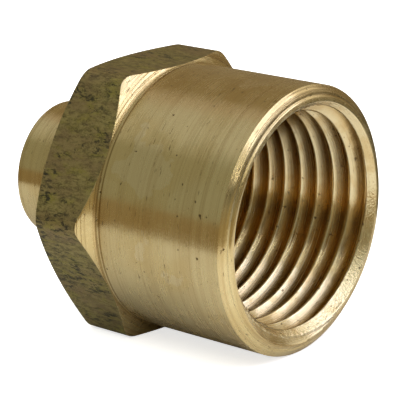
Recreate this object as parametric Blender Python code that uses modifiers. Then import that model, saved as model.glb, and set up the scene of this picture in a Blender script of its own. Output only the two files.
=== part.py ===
"""Brass reducing coupling: a bell-shaped pipe fitting turned in one piece from hexagon bar.

The large socket has a 1/2-14 taper pipe thread and the small one a 1/8-27 taper pipe thread.
The axis lies along X with the large mouth at +X, and the fitting rests on one of its hexagon flats.
Profiles and threads are modelled upright in millimetres, as (radius, height), with the large mouth
at height 0. An empty then lays them along X at real size.
"""

import math

import bmesh
import bpy
from mathutils import Matrix, Vector

MM = 0.001

# The bar
ACROSS_FLATS = 24.65
BAR_CORNER_RADIUS = 1.6
BAR_CORNER_STEPS = 4

# The turned outside
LENGTH = 29.1
BARREL_RADIUS = 12.24
BARREL_LENGTH = 14.1
BARREL_FILLET = 0.45
SHOULDER_SLOPE = math.tan(math.radians(31.2))
HEX_END = 20.6
BACK_SLOPE = math.tan(math.radians(27.0))
BACK_FACE_RADIUS = 11.9
BOSS_RADIUS = 6.56
BOSS_FILLET = 0.5
BOSS_EDGE = 0.3

# The rim of the large mouth
RIM_CHAMFER = 0.7
RIM_LAND_RADIUS = 11.45
RIM_STEP = 0.1
FACE_OUTER_RADIUS = 11.3
FACE_INNER_RADIUS = 10.83

# The bore
SOCKET_DEPTH = 16.2
SOCKET_FLOOR_SLOPE = math.tan(math.radians(31.0))
PASSAGE_RADIUS = 4.05
SMALL_FACE_RADIUS = 5.25

# The threads. Taper is radius lost per length, and first_crest is a crest's depth on the lower side.
# CREST_SHARPENING is the share of the pitch by which the bore blunts the crests
TAPER = 1 / 32
HALF_ANGLE = math.tan(math.radians(30.0))
LARGE_THREAD = dict(crest=9.78, pitch=25.4 / 14, height=1.33, length=14.6, first_crest=0.84, steps=48)
SMALL_THREAD = dict(crest=4.33, pitch=25.4 / 27, height=0.69, length=7.2, first_crest=0.3, steps=28)
CREST_SHARPENING = 0.06
FADE_TURNS = 1.25

TURNED_STEPS = 48
FILLET_STEPS = 4
OVERRUN = 2.0


def clear_scene():
    for obj in list(bpy.data.objects):
        bpy.data.objects.remove(obj, do_unlink=True)


def new_collection(name):
    collection = bpy.data.collections.new(name)
    bpy.context.scene.collection.children.link(collection)
    return collection


def fitting_axis(collection):
    """The empty at the centre of the large mouth, whose Z axis runs out of that mouth along world X."""
    empty = bpy.data.objects.new("fitting_axis", None)
    empty.empty_display_size = 10 * MM
    empty.location = (LENGTH / 2 * MM, 0, ACROSS_FLATS / 2 * MM)
    empty.rotation_euler = (0, math.radians(90), 0)
    empty.scale = (MM, MM, MM)
    collection.objects.link(empty)
    return empty


def add_object(name, mesh, collection, axis):
    obj = bpy.data.objects.new(name, mesh)
    collection.objects.link(obj)
    obj.parent = axis
    return obj


def add_cutter(name, mesh, collection, axis):
    cutter = add_object(name, mesh, collection, axis)
    cutter.hide_render = True
    cutter.display_type = "WIRE"
    return cutter


def rounded(corners):
    """The outline through (radius, height, fillet) corners, with an arc in place of each filleted one."""
    points = []
    for index, (radius, height, fillet) in enumerate(corners):
        corner = Vector((radius, height))
        if not fillet:
            points.append(corner)
            continue
        before = (Vector(corners[index - 1][:2]) - corner).normalized()
        after = (Vector(corners[index + 1][:2]) - corner).normalized()
        half = before.angle(after) / 2
        centre = corner + (before + after).normalized() * fillet / math.sin(half)
        first = corner + before * fillet / math.tan(half) - centre
        last = corner + after * fillet / math.tan(half) - centre
        sweep = -first.angle_signed(last)
        for step in range(FILLET_STEPS + 1):
            points.append(centre + Matrix.Rotation(sweep * step / FILLET_STEPS, 2) @ first)
    return points


def turned_mesh(name, corners):
    """A profile mesh, from its top to its bottom, that a Screw modifier turns about Z."""
    outline = [(point.x, 0, point.y) for point in rounded(corners)]
    mesh = bpy.data.meshes.new(name)
    mesh.from_pydata(outline, [(i, i + 1) for i in range(len(outline) - 1)], [])
    return mesh


def turn(obj):
    screw = obj.modifiers.new("turn", "SCREW")
    screw.axis = "Z"
    screw.steps = TURNED_STEPS
    screw.render_steps = TURNED_STEPS
    screw.use_merge_vertices = True
    screw.merge_threshold = 0.0001
    screw.use_smooth_shade = True


def bar_mesh(name):
    """Hexagon bar with rounded corners, longer than the fitting at both ends."""
    bar = bmesh.new()
    corner_radius = ACROSS_FLATS / math.sqrt(3)
    bmesh.ops.create_cone(
        bar, cap_ends=True, segments=6, radius1=corner_radius, radius2=corner_radius,
        depth=LENGTH + 2 * OVERRUN, matrix=Matrix.Translation((0, 0, -LENGTH / 2)),
    )
    long_edges = [edge for edge in bar.edges if abs(edge.verts[0].co.z - edge.verts[1].co.z) > 1]
    bmesh.ops.bevel(
        bar, geom=long_edges, offset=BAR_CORNER_RADIUS * HALF_ANGLE, segments=BAR_CORNER_STEPS,
        profile=0.5, affect="EDGES",
    )
    mesh = bpy.data.meshes.new(name)
    bar.to_mesh(mesh)
    bar.free()
    return mesh


def outside_corners():
    """What turning leaves of the bar: barrel, shoulder, back of the hexagon and boss."""
    clear = ACROSS_FLATS / math.sqrt(3) + 1
    back_face = -HEX_END - (ACROSS_FLATS / 2 - BACK_FACE_RADIUS) * BACK_SLOPE
    return [
        (0, 0, 0),
        (FACE_OUTER_RADIUS, 0, 0),
        (RIM_LAND_RADIUS, -RIM_STEP, 0),
        (BARREL_RADIUS, -RIM_CHAMFER, 0),
        (BARREL_RADIUS, -BARREL_LENGTH, BARREL_FILLET),
        (clear, -BARREL_LENGTH - (clear - BARREL_RADIUS) * SHOULDER_SLOPE, 0),
        (clear, -HEX_END + (clear - ACROSS_FLATS / 2) * BACK_SLOPE, 0),
        (BACK_FACE_RADIUS, back_face, 0),
        (BOSS_RADIUS, back_face, BOSS_FILLET),
        (BOSS_RADIUS, -LENGTH, BOSS_EDGE),
        (0, -LENGTH, 0),
    ]


def bore_corners():
    """The bore as it is before threading: countersink, tapered socket, floor, passage and small socket."""
    crest = LARGE_THREAD["crest"]
    small_crest = SMALL_THREAD["crest"]
    countersink = (FACE_INNER_RADIUS - crest) / (1 - TAPER)
    small_countersink = (SMALL_FACE_RADIUS - small_crest) / (1 - TAPER)
    floor_radius = crest - SOCKET_DEPTH * TAPER
    small_length = (small_crest - PASSAGE_RADIUS) / TAPER
    return [
        (0, OVERRUN, 0),
        (FACE_INNER_RADIUS + OVERRUN, OVERRUN, 0),
        (crest - countersink * TAPER, -countersink, 0),
        (floor_radius, -SOCKET_DEPTH, 0),
        (PASSAGE_RADIUS, -SOCKET_DEPTH - (floor_radius - PASSAGE_RADIUS) * SOCKET_FLOOR_SLOPE, 0),
        (PASSAGE_RADIUS, -LENGTH + small_length, 0),
        (small_crest - small_countersink * TAPER, -LENGTH + small_countersink, 0),
        (SMALL_FACE_RADIUS + OVERRUN, -LENGTH - OVERRUN, 0),
        (0, -LENGTH - OVERRUN, 0),
    ]


def thread_mesh(name, thread):
    """A right-hand taper tap for a bore that goes down from height 0.

    Each point of the profile winds up a helix, and the last one meets the first one a turn higher.
    The ridges sink below the bore at the bottom, so that the thread runs out instead of stopping dead.
    """
    pitch = thread["pitch"]
    steps = thread["steps"]
    turns_down = math.ceil((thread["length"] + FADE_TURNS * pitch) / pitch)
    turns = turns_down + math.ceil(OVERRUN / pitch)
    lowest = -thread["first_crest"] - turns_down * pitch
    sharpening = CREST_SHARPENING * pitch
    flank = (thread["height"] + sharpening) * HALF_ANGLE
    profile = ((0, False), (flank, True), (pitch - flank, True))

    tap = bmesh.new()

    def add_point(step, offset, on_ridge):
        height = lowest + pitch * step / steps + offset
        bore = thread["crest"] + height * TAPER
        fade = min(1.0, max(0.0, (height + thread["length"]) / (FADE_TURNS * pitch) + 1))
        rise = (thread["height"] + sharpening) * fade if on_ridge else 0
        radius = bore - sharpening + rise
        angle = 2 * math.pi * step / steps
        return tap.verts.new((radius * math.cos(angle), radius * math.sin(angle), height))

    columns = [[add_point(step, *point) for point in profile] for step in range(turns * steps + 1)]
    columns += [[add_point(step, 0, False)] for step in range(turns * steps + 1, (turns + 1) * steps + 1)]
    for step in range(turns * steps):
        here = columns[step] + [columns[step + steps][0]]
        there = columns[step + 1] + [columns[step + 1 + steps][0]]
        for low in range(len(profile)):
            tap.faces.new((here[low], there[low], there[low + 1], here[low + 1]))

    ends = (
        ([column[0] for column in columns[: steps + 1]] + columns[0][:0:-1], lowest - pitch),
        ([column[0] for column in columns[turns * steps:]] + columns[turns * steps][:0:-1],
         lowest + (turns + 2) * pitch),
    )
    for rim, height in ends:
        centre = tap.verts.new((0, 0, height))
        for index, point in enumerate(rim):
            tap.faces.new((point, rim[index - 1], centre))
    bmesh.ops.recalc_face_normals(tap, faces=tap.faces)
    mesh = bpy.data.meshes.new(name)
    tap.to_mesh(mesh)
    tap.free()
    return mesh


def brass():
    material = bpy.data.materials.new("turned_brass")
    material.use_nodes = True
    shader = material.node_tree.nodes["Principled BSDF"]
    shader.inputs["Base Color"].default_value = (0.60, 0.46, 0.22, 1)
    shader.inputs["Metallic"].default_value = 1.0
    shader.inputs["Roughness"].default_value = 0.32
    return material


def machine(body, operation, cutter):
    boolean = body.modifiers.new(cutter.name, "BOOLEAN")
    boolean.operation = operation
    boolean.solver = "EXACT"
    boolean.object = cutter


def build():
    clear_scene()
    parts = new_collection("reducing_coupling")
    cutters = new_collection("reducing_coupling_cutters")
    cutters.hide_render = True
    axis = fitting_axis(parts)

    outside = add_cutter("turned_outside", turned_mesh("turned_outside", outside_corners()), cutters, axis)
    turn(outside)
    bore = add_cutter("bore", turned_mesh("bore", bore_corners()), cutters, axis)
    turn(bore)
    large_tap = add_cutter("large_tap", thread_mesh("large_tap", LARGE_THREAD), cutters, axis)
    small_tap = add_cutter("small_tap", thread_mesh("small_tap", SMALL_THREAD), cutters, axis)
    small_tap.location = (0, 0, -LENGTH)
    small_tap.rotation_euler = (0, math.radians(180), 0)

    body = add_object("coupling_body", bar_mesh("coupling_body"), parts, axis)
    body.data.materials.append(brass())
    machine(body, "INTERSECT", outside)
    machine(body, "DIFFERENCE", bore)
    machine(body, "DIFFERENCE", large_tap)
    machine(body, "DIFFERENCE", small_tap)


build()
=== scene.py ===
"""The looks of a brass reducing coupling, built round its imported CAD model.

One finely divided mesh stands for the faceted CAD body. It is a grid: its columns are angles round
the axis of the fitting, and its rows follow the outline of the fitting and the helix of each thread.
The mesh is made in millimetres and then scaled to metres. A depth is measured back from the large
mouth, and an angle from +Y towards +Z.
"""

import math

import bmesh
import bpy
import numpy as np
from mathutils import Matrix, Vector


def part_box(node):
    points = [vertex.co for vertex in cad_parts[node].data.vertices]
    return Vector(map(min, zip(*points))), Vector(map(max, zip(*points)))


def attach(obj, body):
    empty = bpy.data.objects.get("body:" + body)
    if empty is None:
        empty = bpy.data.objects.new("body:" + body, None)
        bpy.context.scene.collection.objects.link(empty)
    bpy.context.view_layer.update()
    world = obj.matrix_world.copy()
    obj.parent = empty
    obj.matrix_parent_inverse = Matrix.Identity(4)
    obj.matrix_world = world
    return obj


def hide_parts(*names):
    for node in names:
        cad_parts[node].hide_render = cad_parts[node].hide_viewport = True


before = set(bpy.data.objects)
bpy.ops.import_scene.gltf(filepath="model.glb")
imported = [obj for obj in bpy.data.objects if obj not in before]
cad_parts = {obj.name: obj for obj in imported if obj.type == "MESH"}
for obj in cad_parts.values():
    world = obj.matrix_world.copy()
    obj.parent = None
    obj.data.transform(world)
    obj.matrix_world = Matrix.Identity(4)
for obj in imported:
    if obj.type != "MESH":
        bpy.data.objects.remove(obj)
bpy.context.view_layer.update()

MM = 0.001
LOW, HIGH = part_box("coupling_body")
MOUTH_X = HIGH[0] / MM
AXIS_Z = (LOW[2] + HIGH[2]) / 2 / MM
LENGTH = (HIGH[0] - LOW[0]) / MM
APOTHEM = (HIGH[2] - LOW[2]) / 2 / MM

# The outside. The bar's corners are a little rounder than the CAD model's, to stay inside its box
BAR_CORNER_RADIUS = 1.78
BARREL_RADIUS = 12.24
BARREL_LENGTH = 14.1
SHOULDER_SLOPE = math.tan(math.radians(31.2))
HEX_END = 20.6
BACK_SLOPE = math.tan(math.radians(27.0))
BACK_FACE_RADIUS = 11.9
BOSS_RADIUS = 6.56
SMALL_FACE_RADIUS = 5.25

# The rim of the large mouth, with a groove between its chamfer and its flat face. The groove's
# corners are (depth, distance out from RIM_LAND_RADIUS)
RIM_CHAMFER = 0.7
RIM_LAND_RADIUS = 11.45
RIM_GROOVE = ((0.15, 0.02), (0.18, -0.02), (0.13, -0.06))
FACE_OUTER_RADIUS = 11.28
FACE_OUTER_DEPTH = 0.05
FACE_FLAT_WIDTH = 0.36
FACE_INNER_RADIUS = 10.83

# Radii of the fillets and rounded edges, and the width of the broken edge of the bar
BARREL_FILLET = 0.45
BOSS_FILLET = 0.5
BOSS_EDGE = 0.3
BACK_EDGE = 0.06
RIM_EDGE = 0.08
FACE_EDGE = 0.03
PASSAGE_EDGE = 0.1
EDGE_BREAK = 0.025

# The bore. The socket floor starts a little inside the crests, and the passage stops a little short
# of the small thread
SOCKET_DEPTH = 16.2
SOCKET_FLOOR_SLOPE = math.tan(math.radians(31.0))
SOCKET_FLOOR_INSET = 0.3
PASSAGE_RADIUS = 4.05
PASSAGE_END_GAP = 0.1

# The threads. TAPER is radius lost per depth. crest is the radius of the crests at the mouth, length
# is the depth to which the thread is whole, and first_crest the depth of a crest on the +Y side.
# mouth is the radius of the countersink, bottom the depth of the last row, nick the depth of the
# chip in the mouth, and rows the number of rows to a pitch
TAPER = 1 / 32
HALF_ANGLE = math.tan(math.radians(30.0))
LARGE_THREAD = dict(
    crest=9.78, pitch=25.4 / 14, height=1.33, length=14.6, first_crest=0.386, mouth=FACE_INNER_RADIUS,
    bottom=SOCKET_DEPTH, nick=0.28, rows=28,
)
SMALL_THREAD = dict(
    crest=4.33, pitch=25.4 / 27, height=0.69, length=7.2, first_crest=0.065, mouth=SMALL_FACE_RADIUS,
    bottom=8.6, nick=0, rows=12,
)

# Half the width of a crest's flat and the softness of its edges, as shares of the pitch, and the
# turns over which a thread runs out
CREST_FLAT = 0.035
EDGE_SOFTNESS = 0.022
FADE_TURNS = 1.25
COUNTERSINK_SOFTNESS = 0.01

# The burr is a sum of sine waves, this many round the mouth. BURR is the height of one wave
BURR = 0.035
BURR_LIMIT = 3
BURR_WIDTH = 0.07
BURR_WAVES = (5, 23, 41, 67, 89, 113, 149)

# The nick starts sharply at one angle and runs out over its width
NICK_ANGLE = math.radians(134)
NICK_WIDTH = math.radians(14)

# Divisions of the mesh. HOLD is the width of the narrow strips beside a fillet, and points closer
# than WELD are joined
COLUMNS = 384
LONGEST_STEP = 0.6
FILLET_STEPS = 4
SHOULDER_STEPS = 16
FLOOR_STEPS = 12
HOLD = 0.02
SMALL_MOUTH_STRIP = 0.06
WELD = 0.0003

# Regions of the surface, which are also the slots of its materials
BAR, TURNED, SHOULDER, RIM, THREAD = range(5)


def bar_reach(angle):
    """Distance from the axis to the surface of the rounded hexagon bar."""
    off_flat = abs(angle % (math.pi / 3) - math.pi / 6)
    centre = (APOTHEM - BAR_CORNER_RADIUS) / math.cos(math.pi / 6)
    if APOTHEM * math.tan(off_flat) <= centre * math.sin(math.pi / 6):
        return APOTHEM / math.cos(off_flat)
    to_corner = math.pi / 6 - off_flat
    across = centre * math.sin(to_corner)
    return centre * math.cos(to_corner) + math.sqrt(BAR_CORNER_RADIUS**2 - across**2)


def rounded(corners):
    """(point, region) pairs along an outline given as (depth, radius, fillet, region) corners.

    The region of a corner is that of the stretch which starts there. Each fillet has a narrow strip
    on both sides, which keeps the smooth shading of the fillet out of the flat stretches.
    """
    outline = []
    for index, (depth, radius, fillet, region) in enumerate(corners):
        corner = Vector((depth, radius))
        if not fillet:
            outline.append((corner, region))
            continue
        before = (Vector(corners[index - 1][:2]) - corner).normalized()
        after = (Vector(corners[index + 1][:2]) - corner).normalized()
        half = before.angle(after) / 2
        centre = corner + (before + after).normalized() * fillet / math.sin(half)
        first = corner + before * fillet / math.tan(half)
        last = corner + after * fillet / math.tan(half)
        sweep = -(first - centre).angle_signed(last - centre)
        region_before = corners[index - 1][3]
        outline.append((first + before * HOLD, region_before))
        for step in range(FILLET_STEPS + 1):
            turn = Matrix.Rotation(sweep * step / FILLET_STEPS, 2)
            point_region = region_before if step < FILLET_STEPS / 2 else region
            outline.append((centre + turn @ (first - centre), point_region))
        outline.append((last + after * HOLD, region))
    return outline


def divided(outline, counts):
    """The outline with each stretch cut into as many steps as counts says."""
    points = []
    for index, count in enumerate(counts):
        start, region = outline[index]
        for step in range(count):
            points.append((start.lerp(outline[index + 1][0], step / count), region))
    points.append(outline[-1])
    return points


def shoulder_depth(radius):
    """Depth of the turned shoulder at a radius: a fillet up from the barrel, and then a cone."""
    lean = math.atan(SHOULDER_SLOPE)
    fillet_start = BARREL_LENGTH - BARREL_FILLET * math.tan((math.pi / 2 - lean) / 2)
    rise = radius - BARREL_RADIUS
    if rise > BARREL_FILLET * (1 - math.sin(lean)):
        return BARREL_LENGTH + rise * SHOULDER_SLOPE
    return fillet_start + math.sqrt(BARREL_FILLET**2 - (BARREL_FILLET - rise) ** 2)


def back_outline(reach):
    """From the small mouth over the boss and the back of the hexagon to the edge of the shoulder."""
    back_face = HEX_END + (APOTHEM - BACK_FACE_RADIUS) * BACK_SLOPE
    front = shoulder_depth(reach - EDGE_BREAK)
    return rounded([
        (LENGTH, SMALL_FACE_RADIUS + SMALL_MOUTH_STRIP, 0, TURNED),
        (LENGTH, BOSS_RADIUS, BOSS_EDGE, TURNED),
        (back_face, BOSS_RADIUS, BOSS_FILLET, TURNED),
        (back_face, BACK_FACE_RADIUS, BACK_EDGE, TURNED),
        (HEX_END - (reach - APOTHEM) * BACK_SLOPE, reach, BACK_EDGE, BAR),
        (front + EDGE_BREAK + HOLD, reach, 0, BAR),
        (front + EDGE_BREAK, reach, 0, SHOULDER),
    ])


def shoulder_outline(reach):
    """Down the shoulder to the barrel, in steps that get finer towards the fillet."""
    outline = []
    for step in range(SHOULDER_STEPS + 1):
        rise = (reach - EDGE_BREAK - BARREL_RADIUS) * (1 - step / SHOULDER_STEPS) ** 2
        region = SHOULDER if rise > 0 else TURNED
        point = Vector((shoulder_depth(BARREL_RADIUS + rise), BARREL_RADIUS + rise))
        outline.append((point, region))
    return outline


def rim_outline():
    """Along the barrel and over the rim of the large mouth to its flat face."""
    groove = [(depth, RIM_LAND_RADIUS + out, 0, RIM) for depth, out in RIM_GROOVE]
    return rounded([
        (shoulder_depth(BARREL_RADIUS) - HOLD, BARREL_RADIUS, 0, TURNED),
        (RIM_CHAMFER, BARREL_RADIUS, RIM_EDGE, RIM),
        *groove,
        (FACE_OUTER_DEPTH, FACE_OUTER_RADIUS, FACE_EDGE, RIM),
        (0, FACE_INNER_RADIUS + FACE_FLAT_WIDTH, 0, RIM),
    ])


def outside_outline(reach):
    """The outside from the small mouth to the large one, where the bar reaches this far from the axis."""
    return back_outline(reach) + shoulder_outline(reach) + rim_outline()


def softly_positive(value, softness):
    """The value where it is positive and nothing where it isn't, with a soft turn between."""
    return (value + np.sqrt(value**2 + softness**2)) / 2


def burr_height(angle):
    """Height of the ragged lip that the countersink leaves where it cuts the thread."""
    waves = sum(np.sin(count * angle + phase) for phase, count in enumerate(BURR_WAVES))
    return BURR * np.clip(waves, 0, BURR_LIMIT)


def socket_wall(thread, depth, angle):
    """Radius of a threaded socket at each depth and angle, with its countersink."""
    pitch = thread["pitch"]
    softness = EDGE_SOFTNESS * pitch
    turn = (depth - thread["first_crest"]) / pitch + angle / (2 * math.pi)
    off_crest = np.abs((turn + 0.5) % 1 - 0.5) * pitch
    rise = softly_positive((off_crest - CREST_FLAT * pitch) / HALF_ANGLE, softness)
    rise = thread["height"] - softly_positive(thread["height"] - rise, softness)
    fade = np.clip((thread["length"] - depth) / (FADE_TURNS * pitch) + 1, 0, 1)
    wall = thread["crest"] - depth * TAPER + rise * fade
    past_nick = (angle - NICK_ANGLE) / NICK_WIDTH
    nick = thread["nick"] * np.where(past_nick > 0, np.clip(1 - past_nick, 0, 1), 0)
    countersink = thread["mouth"] - depth + nick
    past_wall = countersink - wall
    burr = burr_height(angle) * np.exp(-((past_wall / BURR_WIDTH) ** 2)) * (depth > 0)
    return wall + softly_positive(past_wall, COUNTERSINK_SOFTNESS) - burr


class Grid:
    """Collects the sections of the surface. Sections meet at equal rings of points, which are welded."""

    def __init__(self):
        self.points = []
        self.quads = []
        self.regions = []
        self.count = 0

    def add(self, depth, radius, regions, angles, rows_per_turn=0):
        """Adds a section from its (row, column) depths and radii.

        Where the rows follow a helix, each one meets the row that is rows_per_turn before it.
        """
        rows = depth.shape[0]
        x = MOUTH_X - depth
        y = radius * np.cos(angles)
        z = AXIS_Z + radius * np.sin(angles)
        self.points.append(np.stack([x, y, z], axis=2).reshape(-1, 3))
        index = np.arange(rows * COLUMNS).reshape(rows, COLUMNS) + self.count
        first_column = index[np.maximum(np.arange(rows) - rows_per_turn, 0), :1]
        index = np.hstack([index, first_column])
        corners = [index[:-1, :-1], index[:-1, 1:], index[1:, 1:], index[1:, :-1]]
        self.quads.append(np.stack(corners, axis=2).reshape(-1, 4))
        self.regions.append(np.repeat(np.asarray(regions[: rows - 1]), COLUMNS))
        self.count += rows * COLUMNS

    def mesh(self, name):
        mesh = bpy.data.meshes.new(name)
        quads = np.concatenate(self.quads)
        mesh.from_pydata(np.concatenate(self.points), [], quads.tolist())
        mesh.polygons.foreach_set("material_index", np.concatenate(self.regions).astype(np.int32))
        mesh.polygons.foreach_set("use_smooth", np.ones(len(quads), bool))
        solid = bmesh.new()
        solid.from_mesh(mesh)
        bmesh.ops.remove_doubles(solid, verts=solid.verts, dist=WELD)
        bmesh.ops.recalc_face_normals(solid, faces=solid.faces)
        solid.to_mesh(mesh)
        solid.free()
        mesh.transform(Matrix.Scale(MM, 4))
        return mesh


def add_outside(grid, angles):
    """The outside and both end faces. Angle 0 is at a corner of the bar, so its outline is the longest."""
    outlines = [outside_outline(bar_reach(angle)) for angle in angles]
    longest = outlines[0]
    counts = [
        max(1, math.ceil((longest[i + 1][0] - longest[i][0]).length / LONGEST_STEP))
        for i in range(len(longest) - 1)
    ]
    columns = [divided(outline, counts) for outline in outlines]
    depth = np.array([[point.x for point, region in column] for column in columns]).T
    radius = np.array([[point.y for point, region in column] for column in columns]).T
    regions = [region for point, region in columns[0]] + [RIM]
    small_edge = socket_wall(SMALL_THREAD, np.zeros(COLUMNS), -angles)
    large_edge = socket_wall(LARGE_THREAD, np.zeros(COLUMNS), angles)
    full_length = np.full(COLUMNS, LENGTH)
    depth = np.vstack([full_length, depth, np.zeros(COLUMNS), np.zeros(COLUMNS)])
    radius = np.vstack([small_edge, radius, large_edge + HOLD, large_edge])
    grid.add(depth, radius, [TURNED] + regions, angles)


def add_socket(grid, thread, angles, from_large_mouth):
    """A threaded socket. The small one is made as seen from its own mouth, and then turned round."""
    pitch = thread["pitch"]
    rows = thread["rows"]
    turns = math.ceil((thread["bottom"] - thread["first_crest"]) / pitch) + 2
    row = np.arange(turns * rows + 1)[:, None]
    depth = thread["first_crest"] + pitch * (row / rows - 1 - angles / (2 * math.pi))
    depth = np.clip(depth, 0, thread["bottom"])
    radius = socket_wall(thread, depth, angles)
    regions = [THREAD] * len(row)
    if from_large_mouth:
        grid.add(depth, radius, regions, angles, rows)
    else:
        grid.add(LENGTH - depth, radius, regions, -angles, rows)


def add_passage(grid, angles):
    """From the last ring of the large socket to the last ring of the small one."""
    large_end = np.full(COLUMNS, LARGE_THREAD["bottom"])
    small_end = np.full(COLUMNS, SMALL_THREAD["bottom"])
    large_ring = socket_wall(LARGE_THREAD, large_end, angles)
    small_ring = socket_wall(SMALL_THREAD, small_end, -angles)
    floor_radius = LARGE_THREAD["crest"] - SOCKET_DEPTH * TAPER - SOCKET_FLOOR_INSET
    floor_end = SOCKET_DEPTH + (floor_radius - PASSAGE_RADIUS) * SOCKET_FLOOR_SLOPE
    passage_end = LENGTH - SMALL_THREAD["bottom"] - PASSAGE_END_GAP
    outline = rounded([
        (SOCKET_DEPTH, floor_radius, 0, THREAD),
        (floor_end, PASSAGE_RADIUS, PASSAGE_EDGE, THREAD),
        (passage_end, PASSAGE_RADIUS, 0, THREAD),
    ])
    middle = divided(outline, [FLOOR_STEPS] + [1] * (len(outline) - 2))
    depth = np.array([[point.x] * COLUMNS for point, region in middle])
    radius = np.array([[point.y] * COLUMNS for point, region in middle])
    depth = np.vstack([large_end, depth, LENGTH - small_end])
    radius = np.vstack([large_ring, radius, small_ring])
    grid.add(depth, radius, [THREAD] * len(depth), angles)


def coupling_mesh():
    angles = np.arange(COLUMNS) * 2 * math.pi / COLUMNS
    grid = Grid()
    add_outside(grid, angles)
    add_socket(grid, LARGE_THREAD, angles, True)
    add_passage(grid, angles)
    add_socket(grid, SMALL_THREAD, angles, False)
    return grid.mesh("coupling_surface")


# Materials

BRASS = (0.79, 0.635, 0.32, 1)
BRASS_WARM = (0.74, 0.57, 0.26, 1)
BRASS_PALE = (0.90, 0.78, 0.50, 1)
BRASS_STREAK = (0.55, 0.38, 0.16, 1)
BRASS_LINE = (0.42, 0.29, 0.11, 1)
# The colour of the painted shade line in the crease at the base of the shoulder
BRASS_CREASE_SHADE = (0.30, 0.19, 0.06, 1)
BRASS_MARK = (0.16, 0.10, 0.04, 1)

BAR_DARK = (0.10, 0.08, 0.03, 1)
BAR_LIGHT = (0.40, 0.33, 0.12, 1)
BAR_GRAIN = (0.50, 0.41, 0.17, 1)
BAR_BROWN = (0.32, 0.22, 0.11, 1)
BAR_GREEN = (0.40, 0.36, 0.07, 1)
BAR_DASH = (0.06, 0.055, 0.035, 1)

THREAD_PALE = (0.82, 0.68, 0.39, 1)
# The colour of the painted shade in the roots of the thread
THREAD_ROOT_SHADE = (0.58, 0.36, 0.10, 1)
THREAD_STAIN = (0.62, 0.42, 0.16, 1)
THREAD_SPECK = (0.2, 0.13, 0.05, 1)

# Depth of a dark line painted round the base of the shoulder, where the barrel runs into its fillet: painted
# shade in the crease
CREASE_SHADE_DEPTH = 13.8


class Nodes:
    """A shorthand for building a node tree."""

    def __init__(self, tree):
        self.tree = tree

    def add(self, kind, output=0, settings=None, **inputs):
        """Adds a node and returns one of its outputs. An input's value is a socket or a number.

        An input is named as in Blender with _ for each space, or i0, i1 and so on by its number.
        """
        node = self.tree.nodes.new(kind)
        for name, value in (settings or {}).items():
            setattr(node, name, value)
        for name, value in inputs.items():
            key = int(name[1:]) if name[0] == "i" and name[1:].isdigit() else name.replace("_", " ")
            self.feed(node.inputs[key], value)
        return node.outputs[output]

    def feed(self, socket, value):
        if isinstance(value, bpy.types.NodeSocket):
            self.tree.links.new(value, socket)
        else:
            socket.default_value = value

    def math(self, operation, first, second=0.0):
        return self.add("ShaderNodeMath", settings=dict(operation=operation), i0=first, i1=second)

    def between(self, value, low, high, at_low=0.0, at_high=1.0):
        """Maps low..high to at_low..at_high, smoothly and clamped."""
        settings = dict(interpolation_type="SMOOTHSTEP", clamp=True)
        return self.add(
            "ShaderNodeMapRange", settings=settings, Value=value, From_Min=low, From_Max=high,
            To_Min=at_low, To_Max=at_high,
        )

    def below(self, value, low, high):
        """1 below low, 0 above high, and smooth between them."""
        return self.between(value, low, high, at_low=1.0, at_high=0.0)

    def mix(self, factor, first, second):
        node = self.tree.nodes.new("ShaderNodeMix")
        node.data_type = "RGBA"
        self.feed(node.inputs["Factor"], factor)
        self.feed(node.inputs["A"], first)
        self.feed(node.inputs["B"], second)
        return node.outputs["Result"]

    def noise(self, vector, scale, detail=3.0, roughness=0.5, distortion=0.0):
        return self.add(
            "ShaderNodeTexNoise", Vector=vector, Scale=scale, Detail=detail, Roughness=roughness,
            Distortion=distortion,
        )

    def combine(self, x, y, z):
        return self.add("ShaderNodeCombineXYZ", X=x, Y=y, Z=z)

    def separate(self, vector):
        node = self.tree.nodes.new("ShaderNodeSeparateXYZ")
        self.feed(node.inputs[0], vector)
        return node.outputs


def lathe_coordinates(nodes):
    """Where a point is on the turned fitting, in millimetres from the centre of the large mouth.

    along grows steadily along every part of the outside, so it marks out rings there.
    """
    place = nodes.add("ShaderNodeTexCoord", output="Object")
    to_millimetres = (1 / MM, 1 / MM, 1 / MM)
    place = nodes.add(
        "ShaderNodeMapping", Vector=place, Location=(-MOUTH_X, 0, -AXIS_Z), Scale=to_millimetres
    )
    x, y, z = nodes.separate(place)
    depth = nodes.math("MULTIPLY", x, -1.0)
    radius_squared = nodes.math("ADD", nodes.math("MULTIPLY", y, y), nodes.math("MULTIPLY", z, z))
    radius = nodes.math("SQRT", radius_squared)
    return dict(
        place=place,
        depth=depth,
        radius=radius,
        along=nodes.math("ADD", depth, nodes.math("MULTIPLY", radius, 0.45)),
        sine=nodes.math("DIVIDE", z, radius),
        cosine=nodes.math("DIVIDE", y, radius),
    )


def ring_noise(nodes, lathe, rings, round_axis, detail, roughness=0.5):
    """Noise drawn out into rings: finer across them with rings, and finer round them with round_axis."""
    vector = nodes.combine(
        nodes.math("MULTIPLY", lathe["along"], rings),
        nodes.math("MULTIPLY", lathe["cosine"], round_axis),
        nodes.math("MULTIPLY", lathe["sine"], round_axis),
    )
    return nodes.noise(vector, 1.0, detail, roughness)


def new_material(name):
    material = bpy.data.materials.new(name)
    material.use_nodes = True
    nodes = Nodes(material.node_tree)
    return material, nodes, material.node_tree.nodes["Principled BSDF"]


def add_bump(nodes, shader, height, millimetres):
    bump = nodes.add("ShaderNodeBump", Height=height, Distance=millimetres * MM, Strength=1.0)
    nodes.feed(shader.inputs["Normal"], bump)


def lathe_anisotropy(nodes, shader, amount):
    """Draws highlights out along the axis, as tool marks that run round it do."""
    shader.inputs["Anisotropic"].default_value = amount
    shader.inputs["Anisotropic Rotation"].default_value = 0.25
    tangent = nodes.add("ShaderNodeTangent", settings=dict(direction_type="RADIAL", axis="X"))
    nodes.feed(shader.inputs["Tangent"], tangent)


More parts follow.
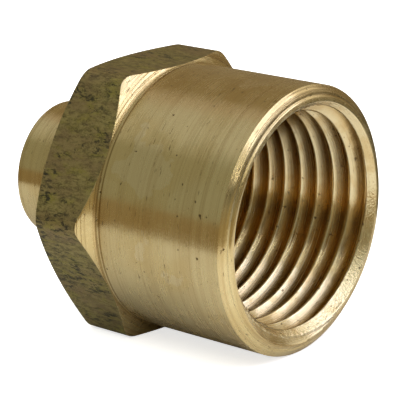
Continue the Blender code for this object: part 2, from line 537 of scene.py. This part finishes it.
def turned_brass(name, ring_relief, streaks):
    """Bright brass with turning rings, short scratches, specks and faint stains, and a dark line painted
    round the base of the shoulder as painted shade in the crease.

    ring_relief is the bump of the rings in millimetres, and streaks how dark the darker rings are.
    """
    material, nodes, shader = new_material(name)
    lathe = lathe_coordinates(nodes)

    fine_rings = ring_noise(nodes, lathe, 8.0, 1.0, detail=3.0, roughness=0.65)
    wide_rings = ring_noise(nodes, lathe, 2.2, 0.5, detail=2.0)
    lines = ring_noise(nodes, lathe, 6.5, 0.4, detail=2.0, roughness=0.6)
    lines = nodes.between(lines, 0.56, 0.63)
    scratch = nodes.between(ring_noise(nodes, lathe, 6.0, 11.0, detail=2.0), 0.67, 0.73)
    speck = nodes.noise(lathe["place"], scale=2.4, detail=1.0, roughness=0.4)
    speck = nodes.between(speck, 0.75, 0.8)
    marks = nodes.math("MAXIMUM", nodes.math("MULTIPLY", scratch, 0.7), speck)
    # Painted shade: a dark line round the crease at the base of the shoulder, where the barrel runs into its
    # fillet
    off_crease_shade = nodes.math("ABSOLUTE", nodes.math("SUBTRACT", lathe["depth"], CREASE_SHADE_DEPTH))
    crease_shade = nodes.between(off_crease_shade, 0.04, 0.12, at_low=0.8, at_high=0.0)
    stain = nodes.noise(lathe["place"], scale=0.14, detail=4.0, roughness=0.55)
    haze = nodes.noise(lathe["place"], scale=0.5, detail=4.0, roughness=0.6)

    colour = nodes.mix(nodes.between(stain, 0.4, 0.6), BRASS, BRASS_WARM)
    colour = nodes.mix(nodes.between(stain, 0.585, 0.6, at_high=0.3), colour, BRASS_PALE)
    colour = nodes.mix(nodes.between(wide_rings, 0.42, 0.68, at_high=streaks), colour, BRASS_STREAK)
    colour = nodes.mix(nodes.math("MULTIPLY", lines, streaks), colour, BRASS_LINE)
    colour = nodes.mix(crease_shade, colour, BRASS_CREASE_SHADE)
    colour = nodes.mix(marks, colour, BRASS_MARK)
    nodes.feed(shader.inputs["Base Color"], colour)

    ring_roughness = nodes.between(fine_rings, 0.3, 0.7, at_low=0.18, at_high=0.27)
    haze_roughness = nodes.between(haze, 0.4, 0.7, at_high=0.08)
    nodes.feed(shader.inputs["Roughness"], nodes.math("ADD", ring_roughness, haze_roughness))
    shader.inputs["Metallic"].default_value = 1.0
    lathe_anisotropy(nodes, shader, 0.9)

    dents = nodes.math("MULTIPLY", nodes.math("MAXIMUM", marks, lines), -0.7)
    add_bump(nodes, shader, nodes.math("ADD", fine_rings, dents), ring_relief)
    return material


def raw_bar():
    """The drawn surface of the bar: dull, dark and mottled, with streaks along it and a few pits."""
    material, nodes, shader = new_material("raw_bar")
    lathe = lathe_coordinates(nodes)
    drawn = nodes.add("ShaderNodeMapping", Vector=lathe["place"], Scale=(0.45, 1.0, 1.0))

    mottle = nodes.noise(drawn, scale=2.6, detail=6.0, roughness=0.75, distortion=0.3)
    blotch = nodes.noise(drawn, scale=0.3, detail=4.0, roughness=0.6, distortion=0.3)
    grain = nodes.noise(lathe["place"], scale=7.0, detail=4.0, roughness=0.7)
    green = nodes.noise(drawn, scale=0.8, detail=5.0, roughness=0.7)
    dash = nodes.noise(drawn, scale=1.9, detail=5.0, roughness=0.8, distortion=0.6)
    patch = nodes.noise(drawn, scale=0.4, detail=2.0, roughness=0.5)
    dash = nodes.between(dash, 0.51, 0.60)
    patch = nodes.between(patch, 0.40, 0.60, at_low=0.2, at_high=0.95)

    colour = nodes.mix(nodes.between(mottle, 0.36, 0.62), BAR_DARK, BAR_LIGHT)
    colour = nodes.mix(nodes.between(grain, 0.4, 0.65, at_high=0.5), colour, BAR_GRAIN)
    colour = nodes.mix(nodes.between(blotch, 0.42, 0.66, at_high=0.6), colour, BAR_BROWN)
    colour = nodes.mix(nodes.between(green, 0.5, 0.68, at_high=0.5), colour, BAR_GREEN)
    colour = nodes.mix(nodes.math("MULTIPLY", dash, patch), colour, BAR_DASH)
    nodes.feed(shader.inputs["Base Color"], colour)

    nodes.feed(shader.inputs["Roughness"], nodes.between(grain, 0.3, 0.7, at_low=0.42, at_high=0.58))
    shader.inputs["Metallic"].default_value = 0.9
    add_bump(nodes, shader, nodes.math("ADD", grain, nodes.math("MULTIPLY", mottle, 1.5)), 0.03)
    return material


def thread_brass():
    """Tapped brass: pale at the crests and painted darker towards the roots as painted shade, with chatter
    and dark specks.
    """
    material, nodes, shader = new_material("thread_brass")
    lathe = lathe_coordinates(nodes)
    # The outside's measure hardly changes across one of the flanks, so the threads have their own
    lathe["along"] = nodes.math("SUBTRACT", lathe["depth"], nodes.math("MULTIPLY", lathe["radius"], 0.9))

    chatter = ring_noise(nodes, lathe, 6.0, 0.6, detail=3.0, roughness=0.6)
    stain = nodes.noise(lathe["place"], scale=0.35, detail=5.0, roughness=0.65)
    speck = nodes.noise(lathe["place"], scale=2.2, detail=1.0, roughness=0.4)
    speck = nodes.between(speck, 0.70, 0.76)
    # Painted shade: the colour darkens from the crests towards the roots of the thread, starting a little
    # way in from the mouth
    lost = nodes.math("MULTIPLY", lathe["depth"], TAPER)
    crests = nodes.math("SUBTRACT", LARGE_THREAD["crest"], lost)
    hollow = nodes.between(nodes.math("SUBTRACT", lathe["radius"], crests), 0.15, 1.2)
    root_shade = nodes.math("MULTIPLY", hollow, nodes.between(lathe["depth"], 0.9, 1.6))

    colour = nodes.mix(root_shade, THREAD_PALE, THREAD_ROOT_SHADE)
    colour = nodes.mix(nodes.between(stain, 0.45, 0.65, at_high=0.6), colour, THREAD_STAIN)
    colour = nodes.mix(nodes.math("MULTIPLY", speck, 0.8), colour, THREAD_SPECK)
    nodes.feed(shader.inputs["Base Color"], colour)

    nodes.feed(shader.inputs["Roughness"], nodes.between(chatter, 0.3, 0.7, at_low=0.18, at_high=0.28))
    shader.inputs["Metallic"].default_value = 1.0
    lathe_anisotropy(nodes, shader, 0.95)

    cone = nodes.math("ADD", lathe["depth"], lathe["radius"])
    off_cone = nodes.math("ABSOLUTE", nodes.math("SUBTRACT", cone, FACE_INNER_RADIUS))
    ragged = nodes.noise(lathe["place"], scale=5.0, detail=2.0, roughness=0.6)
    torn = nodes.math("MULTIPLY", nodes.below(off_cone, 0.02, 0.12), ragged)
    add_bump(nodes, shader, nodes.math("ADD", chatter, nodes.math("MULTIPLY", torn, 5.0)), 0.008)
    return material


def build_coupling():
    body = bpy.data.objects.new("brass_coupling", coupling_mesh())
    bpy.context.scene.collection.objects.link(body)
    materials = (
        raw_bar(),
        turned_brass("turned_brass", ring_relief=0.004, streaks=0.25),
        turned_brass("shoulder_brass", ring_relief=0.03, streaks=0.8),
        turned_brass("rim_brass", ring_relief=0.02, streaks=0.5),
        thread_brass(),
    )
    for material in materials:
        body.data.materials.append(material)
    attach(body, "root")
    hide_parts("coupling_body")


# The studio

# Light from the room by direction: everywhere, above the horizon on the -Y side, below it beyond the
# large mouth, below it on the +Y side, and in a dark band above it beyond the large mouth
ROOM_WARM = (0.27, 0.215, 0.13, 1)
ROOM_GREY = (0.31, 0.31, 0.25, 1)
ROOM_FRONT = (0.38, 0.32, 0.20, 1)
ROOM_ASIDE = (0.12, 0.11, 0.08, 1)
ROOM_AHEAD = (0.012, 0.010, 0.008, 1)

# The floor and the sheet under the fitting, in metres
FLOOR_HALF_WIDTH = 1.5
SHEET_LOW = (-0.048, -0.048)
SHEET_HIGH = (0.060, 0.040)
SHEET_HEIGHT = -0.0001

CAMERA_PLACE = Vector((106.354, -131.358, 64.002)) * MM
CAMERA_TARGET = Vector((1.594, 0.961, 11.765)) * MM
CAMERA_ROLL = math.radians(-0.33)
CAMERA_LENS = 171.84
CAMERA_SENSOR = 36


def add_camera():
    data = bpy.data.cameras.new("camera")
    data.lens = CAMERA_LENS
    data.sensor_width = CAMERA_SENSOR
    data.clip_start = MM
    camera = bpy.data.objects.new("camera", data)
    bpy.context.scene.collection.objects.link(camera)
    look = (CAMERA_TARGET - CAMERA_PLACE).to_track_quat("-Z", "Y").to_matrix().to_4x4()
    camera.matrix_world = Matrix.Translation(CAMERA_PLACE) @ look @ Matrix.Rotation(CAMERA_ROLL, 4, "Z")
    bpy.context.scene.camera = camera


def room_colour(nodes):
    """The colour of the room, where x, y and z are those of a unit vector towards it."""
    x, y, z = nodes.separate(nodes.add("ShaderNodeTexCoord", output="Generated"))

    grey = nodes.math("MULTIPLY", nodes.between(z, 0.03, 0.08), nodes.below(y, 0.04, 0.16))
    front = nodes.math("MULTIPLY", nodes.between(x, 0.5, 0.8), nodes.below(z, -0.02, 0.02))
    aside = nodes.math("MULTIPLY", nodes.between(y, 0.3, 0.6), nodes.below(z, -0.12, -0.05))
    ahead = nodes.math("MULTIPLY", nodes.between(z, 0.02, 0.06), nodes.below(z, 0.26, 0.3))
    ahead = nodes.math("MULTIPLY", ahead, nodes.between(x, 0.7, 0.82))
    ahead = nodes.math("MULTIPLY", ahead, nodes.between(y, -0.24, -0.16))

    room = nodes.mix(grey, ROOM_WARM, ROOM_GREY)
    room = nodes.mix(front, room, ROOM_FRONT)
    room = nodes.mix(aside, room, ROOM_ASIDE)
    return nodes.mix(ahead, room, ROOM_AHEAD)


def add_room():
    """A dim warm room that lights the fitting and shows in it, with plain white behind for the camera."""
    world = bpy.data.worlds.new("studio")
    bpy.context.scene.world = world
    world.use_nodes = True
    nodes = Nodes(world.node_tree)
    around = nodes.add("ShaderNodeBackground", Color=room_colour(nodes), Strength=1.0)
    behind = nodes.add("ShaderNodeBackground", Color=(1, 1, 1, 1), Strength=1.0)
    is_camera = nodes.add("ShaderNodeLightPath", output="Is Camera Ray")
    mixed = nodes.add("ShaderNodeMixShader", i0=is_camera, i1=around, i2=behind)
    nodes.feed(world.node_tree.nodes["World Output"].inputs["Surface"], mixed)


def add_light(name, azimuth, elevation, distance, size, radiance, colour=(1, 1, 1)):
    """A softbox that faces the fitting. Azimuth turns from +X towards +Y. Lengths in metres."""
    data = bpy.data.lights.new(name, "AREA")
    data.shape = "RECTANGLE"
    data.size, data.size_y = size
    data.energy = radiance * math.pi * data.size * data.size_y
    data.color = colour
    light = bpy.data.objects.new(name, data)
    bpy.context.scene.collection.objects.link(light)
    azimuth = math.radians(azimuth)
    elevation = math.radians(elevation)
    direction = Vector((
        math.cos(elevation) * math.cos(azimuth), math.cos(elevation) * math.sin(azimuth), math.sin(elevation)
    ))
    light.location = Vector((0, 0, AXIS_Z * MM)) + direction * distance
    light.rotation_euler = (-direction).to_track_quat("-Z", "Y").to_euler()
    return light


def add_lights():
    """A window and a brighter key beyond the mouth, a weak light overhead and a thin bright strip.

    The wash lights only what is matt: it keeps the floor white and gives the fitting its soft shadow.
    """
    add_light("window", 28, 36, 0.5, (0.90, 0.36), 0.8, (1.0, 1.02, 1.08))
    add_light("key", 26, 31, 0.48, (0.36, 0.18), 1.9, (0.9, 0.98, 1.5))
    add_light("overhead", -170, 58, 0.5, (0.40, 0.34), 0.2, (1.0, 1.0, 1.2))
    add_light("strip", -2, 16, 0.5, (0.14, 0.006), 10.0)
    wash = add_light("wash", -60, 80, 0.7, (1.1, 1.1), 2.4)
    wash.visible_glossy = False


def add_ground(name, low, high, height):
    """A level rectangle, in metres, with a matt material of its own."""
    corners = [(low[0], low[1]), (high[0], low[1]), (high[0], high[1]), (low[0], high[1])]
    mesh = bpy.data.meshes.new(name)
    mesh.from_pydata([(x, y, height) for x, y in corners], [], [(0, 1, 2, 3)])
    ground = bpy.data.objects.new(name, mesh)
    bpy.context.scene.collection.objects.link(ground)
    material, nodes, shader = new_material(name)
    shader.inputs["Roughness"].default_value = 0.9
    ground.data.materials.append(material)
    ground.visible_shadow = False
    return ground, nodes, shader


def add_floor():
    """A wide white floor, which the camera sees and the brass doesn't reflect."""
    low = (-FLOOR_HALF_WIDTH, -FLOOR_HALF_WIDTH)
    high = (FLOOR_HALF_WIDTH, FLOOR_HALF_WIDTH)
    floor, _, shader = add_ground("floor", low, high, 0)
    shader.inputs["Base Color"].default_value = (0.9, 0.9, 0.9, 1)
    shader.inputs["Emission Color"].default_value = (1, 1, 1, 1)
    shader.inputs["Emission Strength"].default_value = 0.7
    floor.visible_glossy = False
    floor.visible_diffuse = False


def add_sheet():
    """A small pale sheet just under the floor, which the brass reflects and the camera doesn't see.

    Its colour is painted lighter towards the large mouth and darker towards its +Y side: painted light and
    shade.
    """
    sheet, nodes, shader = add_ground("sheet", SHEET_LOW, SHEET_HIGH, SHEET_HEIGHT)
    x, y, z = nodes.separate(nodes.add("ShaderNodeTexCoord", output="Object"))
    # Painted light and shade: the sheet's colour is lighter towards the large mouth and darker towards +Y
    lighter = nodes.between(x, 0.0, 0.025, at_low=0.42, at_high=0.66)
    darker = nodes.between(y, 0.015, 0.036, at_low=1.0, at_high=0.75)
    shade = nodes.math("MULTIPLY", lighter, darker)
    nodes.feed(shader.inputs["Base Color"], nodes.combine(shade, shade, shade))
    sheet.visible_camera = False


bpy.context.scene.view_settings.view_transform = "Standard"
build_coupling()
add_camera()
add_room()
add_lights()
add_floor()
add_sheet()
